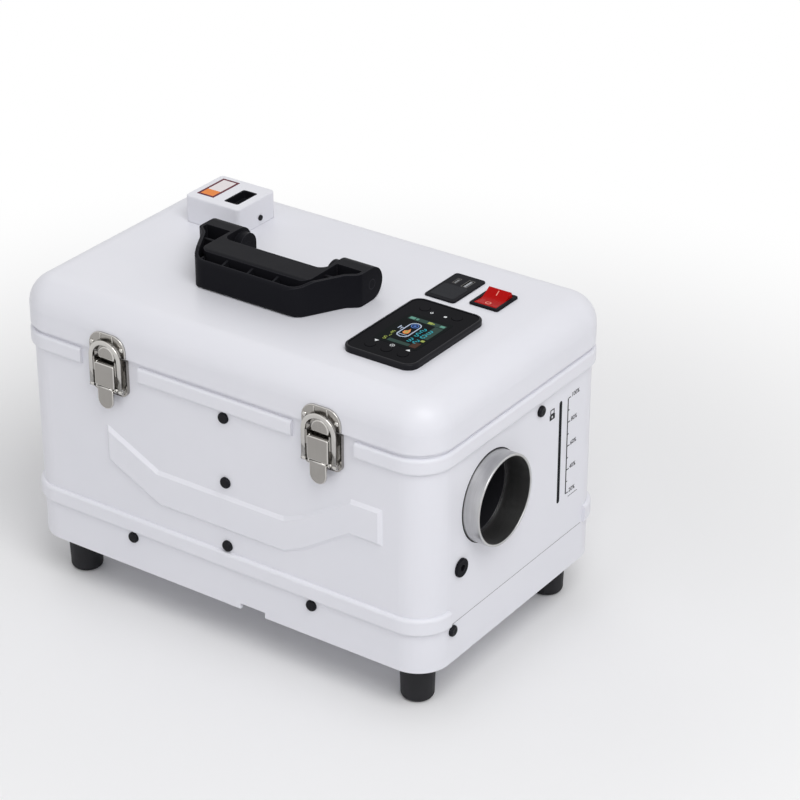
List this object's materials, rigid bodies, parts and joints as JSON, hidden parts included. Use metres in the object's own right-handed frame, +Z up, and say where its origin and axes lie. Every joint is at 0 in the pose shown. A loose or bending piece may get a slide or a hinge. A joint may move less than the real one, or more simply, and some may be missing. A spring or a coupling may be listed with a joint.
{
  "type": "portable diesel air heater",
  "caption": "Portable diesel air heater in a white carry case with toggle latches, folding handle, control panel, hinged fuel filler cover and round hot-air outlet.",
  "frame": {"origin": "middle of the outline in plan, on the surface that the feet stand on", "axes": "+Z up, -Y towards the latches at the front, +X towards the hot-air outlet"},
  "size_m": [0.4176, 0.2712, 0.302],
  "materials": {
    "case_white": "satin",
    "black_rubber": "matte",
    "black_plastic": "satin",
    "black_screw": "satin",
    "face_gloss": "gloss",
    "display": "gloss",
    "nickel": "satin",
    "steel": "satin",
    "aluminium": "satin",
    "clear": "gloss",
    "tank": "satin",
    "tongue": "matte",
    "rocker_red": "gloss"
  },
  "bodies": {
    "case": {"bottom_pan": "case_white", "case_tub": "case_white", "rubber_feet": "black_rubber", "heater_gasket": "black_rubber", "fuel_hoses": "black_rubber", "power_inlet": "black_plastic", "intake_grille": "black_plastic", "blower_housing": "black_plastic", "control_unit": "black_plastic", "heater_lower_shell": "black_plastic", "heater_upper_shell": "black_plastic", "case_screws": "black_screw", "latch_bases": "nickel", "foot_screws": "steel", "front_brace": "steel", "hinge_case_leaves": "steel", "heater_stand": "steel", "tank_brackets": "steel", "pump_clamp": "steel", "fuel_pump": "steel", "blower_motor": "steel", "glow_plug": "steel", "exhaust_pipe": "steel", "outlet_collar": "aluminium", "heat_exchanger": "aluminium", "combustion_air_pipe": "aluminium", "gauge_window": "clear", "fuel_filter": "clear", "fuel_tank": "tank"},
    "lid": {"lid_shell": "case_white", "lid_seal": "black_rubber", "hinge_lid_leaves": "steel", "latch_keepers": "nickel", "handle_brackets": "black_plastic", "filler_cover_pin": "steel", "controller_bezel": "black_plastic", "controller_face": "face_gloss", "controller_screen": "display", "usb_panel": "black_plastic", "usb_sockets": "nickel", "usb_tongues": "tongue", "switch_housing": "black_plastic"},
    "handle": {"carry_handle": "black_plastic"},
    "lever_left": {"latch_lever_left": "nickel"},
    "lever_right": {"latch_lever_right": "nickel"},
    "bail_left": {"latch_bail_left": "nickel"},
    "bail_right": {"latch_bail_right": "nickel"},
    "cover": {"filler_cover": "case_white", "filler_cover_pull": "black_plastic", "filler_cover_screw": "black_screw"},
    "cap": {"filler_cap": "black_plastic"},
    "rocker": {"power_rocker": "rocker_red"},
    "blower": {"blower_shaft": "steel", "hot_air_fan": "black_plastic", "combustion_fan": "black_plastic"},
    "key_front_left": {"key_front_left": "face_gloss"},
    "key_front_middle": {"key_front_middle": "face_gloss"},
    "key_front_right": {"key_front_right": "face_gloss"},
    "key_back_left": {"key_back_left": "face_gloss"},
    "key_back_right": {"key_back_right": "face_gloss"}
  },
  "joints": [
    {"name": "lid_hinge", "type": "hinge", "parent": "case", "child": "lid", "pos_m": [-0.00565, 0.1316, 0.2335], "axis": [-1, 0, 0], "range_deg": [0, 95]},
    {"name": "handle_fold", "type": "hinge", "parent": "lid", "child": "handle", "pos_m": [-0.02765, 0.0016, 0.288], "axis": [-1, 0, 0], "range_deg": [0, 90]},
    {"name": "cover_hinge", "type": "hinge", "parent": "lid", "child": "cover", "pos_m": [-0.13425, 0.0879, 0.277], "axis": [-1, 0, 0], "range_deg": [0, 95]},
    {"name": "rocker_tilt", "type": "hinge", "parent": "lid", "child": "rocker", "pos_m": [0.13085, 0.0557, 0.2726], "axis": [-1, 0, 0], "range_deg": [0, 26]},
    {"name": "lever_pivot_left", "type": "hinge", "parent": "case", "child": "lever_left", "pos_m": [-0.11015, -0.1319, 0.225], "axis": [-1, 0, 0], "range_deg": [0, 120]},
    {"name": "bail_pivot_left", "type": "hinge", "parent": "lever_left", "child": "bail_left", "pos_m": [-0.11015, -0.1322, 0.2055], "axis": [-1, 0, 0], "range_deg": [-120, 0]},
    {"name": "lever_pivot_right", "type": "hinge", "parent": "case", "child": "lever_right", "pos_m": [0.09885, -0.1319, 0.225], "axis": [-1, 0, 0], "range_deg": [0, 120]},
    {"name": "bail_pivot_right", "type": "hinge", "parent": "lever_right", "child": "bail_right", "pos_m": [0.09885, -0.1322, 0.2055], "axis": [-1, 0, 0], "range_deg": [-120, 0]},
    {"name": "cap_turn", "type": "hinge", "parent": "case", "child": "cap", "pos_m": [-0.13425, 0.0603, 0.2626], "axis": [0, 0, 1], "continuous": true},
    {"name": "blower_spin", "type": "hinge", "parent": "case", "child": "blower", "pos_m": [-0.11965, -0.0434, 0.166], "axis": [1, 0, 0], "continuous": true},
    {"name": "key_front_left_press", "type": "slide", "parent": "lid", "child": "key_front_left", "axis": [0, 0, -1], "range_m": [0, 0.0008], "stiffness_N_per_m": 400, "springref_m": -0.001},
    {"name": "key_front_middle_press", "type": "slide", "parent": "lid", "child": "key_front_middle", "axis": [0, 0, -1], "range_m": [0, 0.0008], "stiffness_N_per_m": 400, "springref_m": -0.001},
    {"name": "key_front_right_press", "type": "slide", "parent": "lid", "child": "key_front_right", "axis": [0, 0, -1], "range_m": [0, 0.0008], "stiffness_N_per_m": 400, "springref_m": -0.001},
    {"name": "key_back_left_press", "type": "slide", "parent": "lid", "child": "key_back_left", "axis": [0, 0, -1], "range_m": [0, 0.0008], "stiffness_N_per_m": 400, "springref_m": -0.001},
    {"name": "key_back_right_press", "type": "slide", "parent": "lid", "child": "key_back_right", "axis": [0, 0, -1], "range_m": [0, 0.0008], "stiffness_N_per_m": 400, "springref_m": -0.001}
  ],
  "couplings": [
    {"joint": "bail_pivot_left", "follows": "lever_pivot_left", "ratio": -1},
    {"joint": "bail_pivot_right", "follows": "lever_pivot_right", "ratio": -1}
  ]
}
